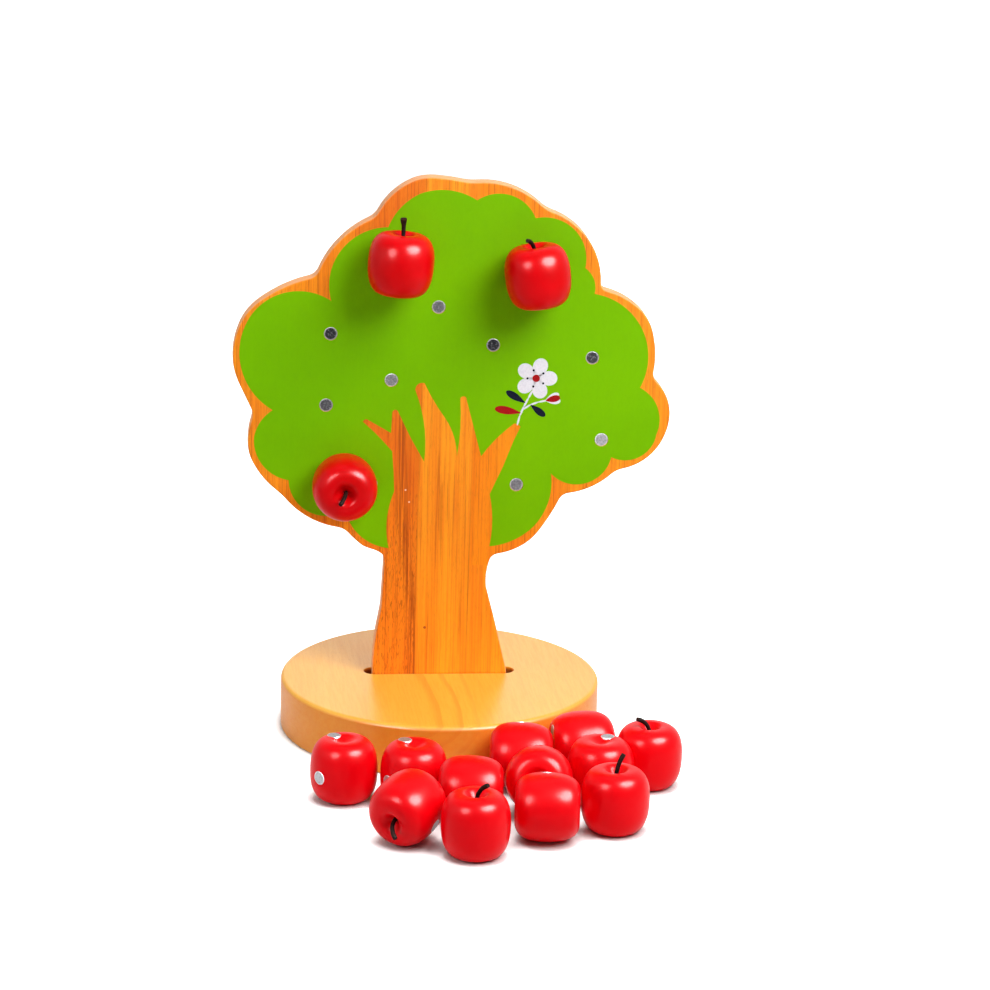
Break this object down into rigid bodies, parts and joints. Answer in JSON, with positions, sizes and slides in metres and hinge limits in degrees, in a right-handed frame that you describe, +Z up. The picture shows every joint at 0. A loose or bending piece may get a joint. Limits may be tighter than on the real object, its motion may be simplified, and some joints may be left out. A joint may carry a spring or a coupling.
{
  "type": "magnetic apple tree toy",
  "caption": "Flat wooden tree with a printed green crown and let-in metal discs, standing in a slot across a round wooden base, with turned red apples that hold on by magnets.",
  "frame": {"origin": "centre of the round base's flat underside", "axes": "+Z up the tree, the printed front of the tree faces -Y, +X to the right as seen from the front"},
  "size_m": [0.2305, 0.2906, 0.2967],
  "materials": {
    "lacquered_pale_wood": "clear gloss lacquer over pale turned wood",
    "oiled_warm_wood": "satin lacquer over warm orange-brown edge-glued wood with upright grain",
    "printed_green": "thin satin yellow-green print on the wood, which lets a little grain through",
    "red_lacquer": "smooth high-gloss red lacquer",
    "dark_stem": "matt dark brown, soft and bendable",
    "nickel_plate": "satin grey plated metal"
  },
  "bodies": {
    "base": {"base": "lacquered_pale_wood"},
    "tree": {"tree_board": "oiled_warm_wood", "printed_crown": "printed_green", "tree_disc_01": "nickel_plate", "tree_disc_02": "nickel_plate", "tree_disc_03": "nickel_plate", "tree_disc_04": "nickel_plate", "tree_disc_05": "nickel_plate", "tree_disc_06": "nickel_plate", "tree_disc_07": "nickel_plate", "tree_disc_08": "nickel_plate", "tree_disc_09": "nickel_plate", "tree_disc_10": "nickel_plate", "tree_disc_11": "nickel_plate"},
    "apple_01": {"apple_01_body": "red_lacquer", "apple_01_stem": "dark_stem", "apple_01_side_magnet": "nickel_plate"},
    "apple_02": {"apple_02_body": "red_lacquer", "apple_02_stem": "dark_stem", "apple_02_side_magnet": "nickel_plate"},
    "apple_03": {"apple_03_body": "red_lacquer", "apple_03_stem": "dark_stem", "apple_03_side_magnet": "nickel_plate"},
    "apple_04": {"apple_04_body": "red_lacquer", "apple_04_stem": "dark_stem", "apple_04_side_magnet": "nickel_plate"},
    "apple_05": {"apple_05_body": "red_lacquer", "apple_05_stem": "dark_stem", "apple_05_side_magnet": "nickel_plate"},
    "apple_06": {"apple_06_body": "red_lacquer", "apple_06_stem": "dark_stem", "apple_06_side_magnet": "nickel_plate"},
    "apple_07": {"apple_07_body": "red_lacquer", "apple_07_stem": "dark_stem", "apple_07_side_magnet": "nickel_plate"},
    "apple_08": {"apple_08_body": "red_lacquer", "apple_08_stem": "dark_stem", "apple_08_side_magnet": "nickel_plate"},
    "apple_09": {"apple_09_body": "red_lacquer", "apple_09_stem": "dark_stem", "apple_09_side_magnet": "nickel_plate"},
    "apple_10": {"apple_10_body": "red_lacquer", "apple_10_stem": "dark_stem", "apple_10_side_magnet": "nickel_plate"},
    "apple_11": {"apple_11_body": "red_lacquer", "apple_11_stem": "dark_stem", "apple_11_side_magnet": "nickel_plate"},
    "apple_12": {"apple_12_body": "red_lacquer", "apple_12_stem": "dark_stem", "apple_12_side_magnet": "nickel_plate"},
    "apple_13": {"apple_13_body": "red_lacquer", "apple_13_stem": "dark_stem", "apple_13_side_magnet": "nickel_plate"},
    "apple_14": {"apple_14_body": "red_lacquer", "apple_14_stem": "dark_stem", "apple_14_side_magnet": "nickel_plate"},
    "apple_15": {"apple_15_body": "red_lacquer", "apple_15_stem": "dark_stem", "apple_15_side_magnet": "nickel_plate"}
  },
  "joints": [
    {"name": "tree_lift", "type": "slide", "parent": "base", "child": "tree", "axis": [0, 0, 1], "range_m": [0, 0.06]},
    {"name": "apple_01_pull", "type": "slide", "parent": "tree", "child": "apple_01", "axis": [0, -1, 0], "range_m": [0, 0.06]},
    {"name": "apple_02_pull", "type": "slide", "parent": "tree", "child": "apple_02", "axis": [0, -1, 0], "range_m": [0, 0.06]},
    {"name": "apple_03_pull", "type": "slide", "parent": "tree", "child": "apple_03", "axis": [0, -1, 0], "range_m": [0, 0.06]},
    {"name": "apple_04_lift", "type": "slide", "parent": "base", "child": "apple_04", "axis": [0, 0, 1], "range_m": [0, 0.05]},
    {"name": "apple_05_lift", "type": "slide", "parent": "base", "child": "apple_05", "axis": [0, 0, 1], "range_m": [0, 0.05]},
    {"name": "apple_06_lift", "type": "slide", "parent": "base", "child": "apple_06", "axis": [0, 0, 1], "range_m": [0, 0.05]},
    {"name": "apple_07_lift", "type": "slide", "parent": "base", "child": "apple_07", "axis": [0, 0, 1], "range_m": [0, 0.05]},
    {"name": "apple_08_lift", "type": "slide", "parent": "base", "child": "apple_08", "axis": [0, 0, 1], "range_m": [0, 0.05]},
    {"name": "apple_09_lift", "type": "slide", "parent": "base", "child": "apple_09", "axis": [0, 0, 1], "range_m": [0, 0.05]},
    {"name": "apple_10_lift", "type": "slide", "parent": "base", "child": "apple_10", "axis": [0, 0, 1], "range_m": [0, 0.05]},
    {"name": "apple_11_lift", "type": "slide", "parent": "base", "child": "apple_11", "axis": [0, 0, 1], "range_m": [0, 0.05]},
    {"name": "apple_12_lift", "type": "slide", "parent": "base", "child": "apple_12", "axis": [0, 0, 1], "range_m": [0, 0.05]},
    {"name": "apple_13_lift", "type": "slide", "parent": "base", "child": "apple_13", "axis": [0, 0, 1], "range_m": [0, 0.05]},
    {"name": "apple_14_lift", "type": "slide", "parent": "base", "child": "apple_14", "axis": [0, 0, 1], "range_m": [0, 0.05]},
    {"name": "apple_15_lift", "type": "slide", "parent": "base", "child": "apple_15", "axis": [0, 0, 1], "range_m": [0, 0.05]}
  ]
}
